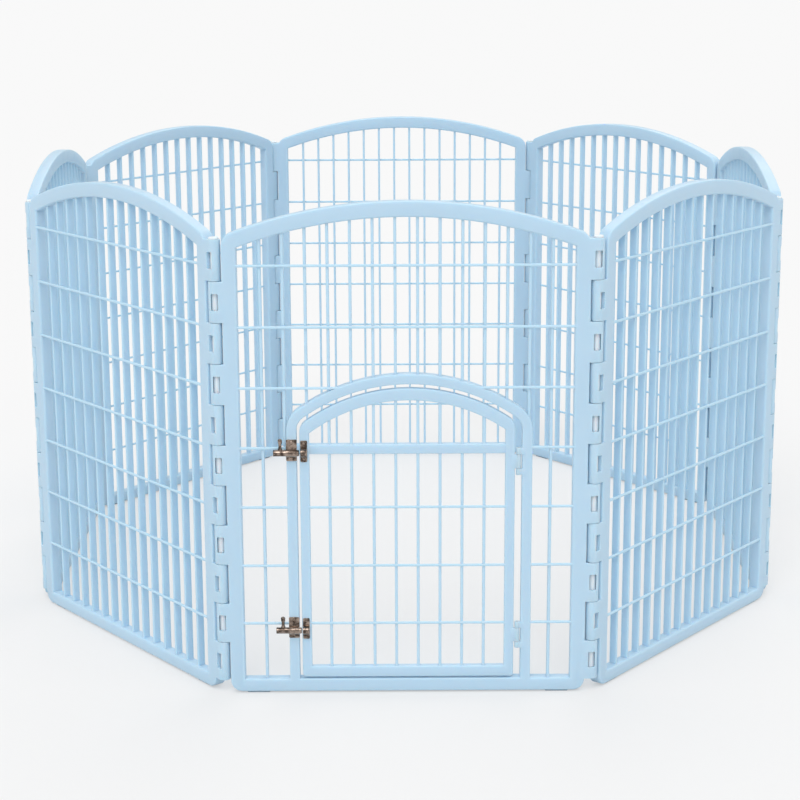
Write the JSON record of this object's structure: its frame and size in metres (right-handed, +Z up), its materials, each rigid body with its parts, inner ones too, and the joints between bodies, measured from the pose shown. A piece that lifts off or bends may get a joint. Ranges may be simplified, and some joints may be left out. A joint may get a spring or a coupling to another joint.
{
  "type": "pet playpen",
  "caption": "Free-standing folding pet pen of hinged arched grille panels, with an arched latched door in the front panel.",
  "frame": {"origin": "on the floor, under the middle of the pen's overall box at rest", "axes": "+Z up, -Y out through the front panel that holds the door, +X to the right of someone facing that door"},
  "size_m": [1.4566, 1.6917, 0.864],
  "materials": {
    "panel_plastic": "fine satin moulded polypropylene, pale blue",
    "rod_plastic": "natural whitish plastic",
    "foot_rubber": "matt black rubber",
    "latch_chrome": "bright chromed steel",
    "pin_steel": "plain steel wire"
  },
  "bodies": {
    "front": {"front_panel": "panel_plastic", "front_feet": "foot_rubber", "front_connecting_rod": "rod_plastic", "lower_door_hinge_pin": "pin_steel", "upper_door_hinge_pin": "pin_steel", "lower_latch_plate": "latch_chrome", "upper_latch_plate": "latch_chrome"},
    "front_right": {"front_right_panel": "panel_plastic", "front_right_feet": "foot_rubber", "front_right_connecting_rod": "rod_plastic"},
    "right": {"right_panel": "panel_plastic", "right_feet": "foot_rubber", "right_connecting_rod": "rod_plastic"},
    "back_right": {"back_right_panel": "panel_plastic", "back_right_feet": "foot_rubber", "back_right_connecting_rod": "rod_plastic"},
    "back": {"back_panel": "panel_plastic", "back_feet": "foot_rubber", "back_connecting_rod": "rod_plastic"},
    "back_left": {"back_left_panel": "panel_plastic", "back_left_feet": "foot_rubber", "back_left_connecting_rod": "rod_plastic"},
    "left": {"left_panel": "panel_plastic", "left_feet": "foot_rubber", "left_connecting_rod": "rod_plastic"},
    "front_left": {"front_left_panel": "panel_plastic", "front_left_feet": "foot_rubber", "front_left_connecting_rod": "rod_plastic"},
    "door": {"door": "panel_plastic", "lower_latch_keeper": "latch_chrome", "upper_latch_keeper": "latch_chrome"},
    "lower_bolt": {"lower_latch_bolt": "latch_chrome"},
    "upper_bolt": {"upper_latch_bolt": "latch_chrome"}
  },
  "joints": [
    {"name": "front_right_hinge", "type": "hinge", "parent": "front", "child": "front_right", "pos_m": [0.32125, -0.82045, 0], "axis": [0, 0, 1], "range_deg": [-52, 38]},
    {"name": "right_hinge", "type": "hinge", "parent": "front_right", "child": "right", "pos_m": [0.71681, -0.31415, 0], "axis": [0, 0, 1], "range_deg": [-38, 52]},
    {"name": "back_right_hinge", "type": "hinge", "parent": "right", "child": "back_right", "pos_m": [0.71681, 0.32835, 0], "axis": [0, 0, 1], "range_deg": [-38, 52]},
    {"name": "back_hinge", "type": "hinge", "parent": "back_right", "child": "back", "pos_m": [0.32125, 0.83465, 0], "axis": [0, 0, 1], "range_deg": [-52, 38]},
    {"name": "front_left_hinge", "type": "hinge", "parent": "front", "child": "front_left", "pos_m": [-0.32125, -0.82045, 0], "axis": [0, 0, 1], "range_deg": [-38, 52]},
    {"name": "left_hinge", "type": "hinge", "parent": "front_left", "child": "left", "pos_m": [-0.71681, -0.31415, 0], "axis": [0, 0, 1], "range_deg": [-52, 38]},
    {"name": "back_left_hinge", "type": "hinge", "parent": "left", "child": "back_left", "pos_m": [-0.71681, 0.32835, 0], "axis": [0, 0, 1], "range_deg": [-52, 38]},
    {"name": "door_hinge", "type": "hinge", "parent": "front", "child": "door", "pos_m": [0.1906, -0.82845, 0], "axis": [0, 0, 1], "range_deg": [0, 110]},
    {"name": "lower_bolt_slide", "type": "slide", "parent": "front", "child": "lower_bolt", "axis": [1, 0, 0], "range_m": [0, 0.0225]},
    {"name": "upper_bolt_slide", "type": "slide", "parent": "front", "child": "upper_bolt", "axis": [1, 0, 0], "range_m": [0, 0.0225]}
  ],
  "couplings": [
    {"joint": "right_hinge", "follows": "front_right_hinge", "ratio": -1},
    {"joint": "back_right_hinge", "follows": "front_right_hinge", "ratio": -1},
    {"joint": "back_hinge", "follows": "front_right_hinge", "ratio": 1},
    {"joint": "front_left_hinge", "follows": "front_right_hinge", "ratio": -1},
    {"joint": "left_hinge", "follows": "front_right_hinge", "ratio": 1},
    {"joint": "back_left_hinge", "follows": "front_right_hinge", "ratio": 1}
  ]
}
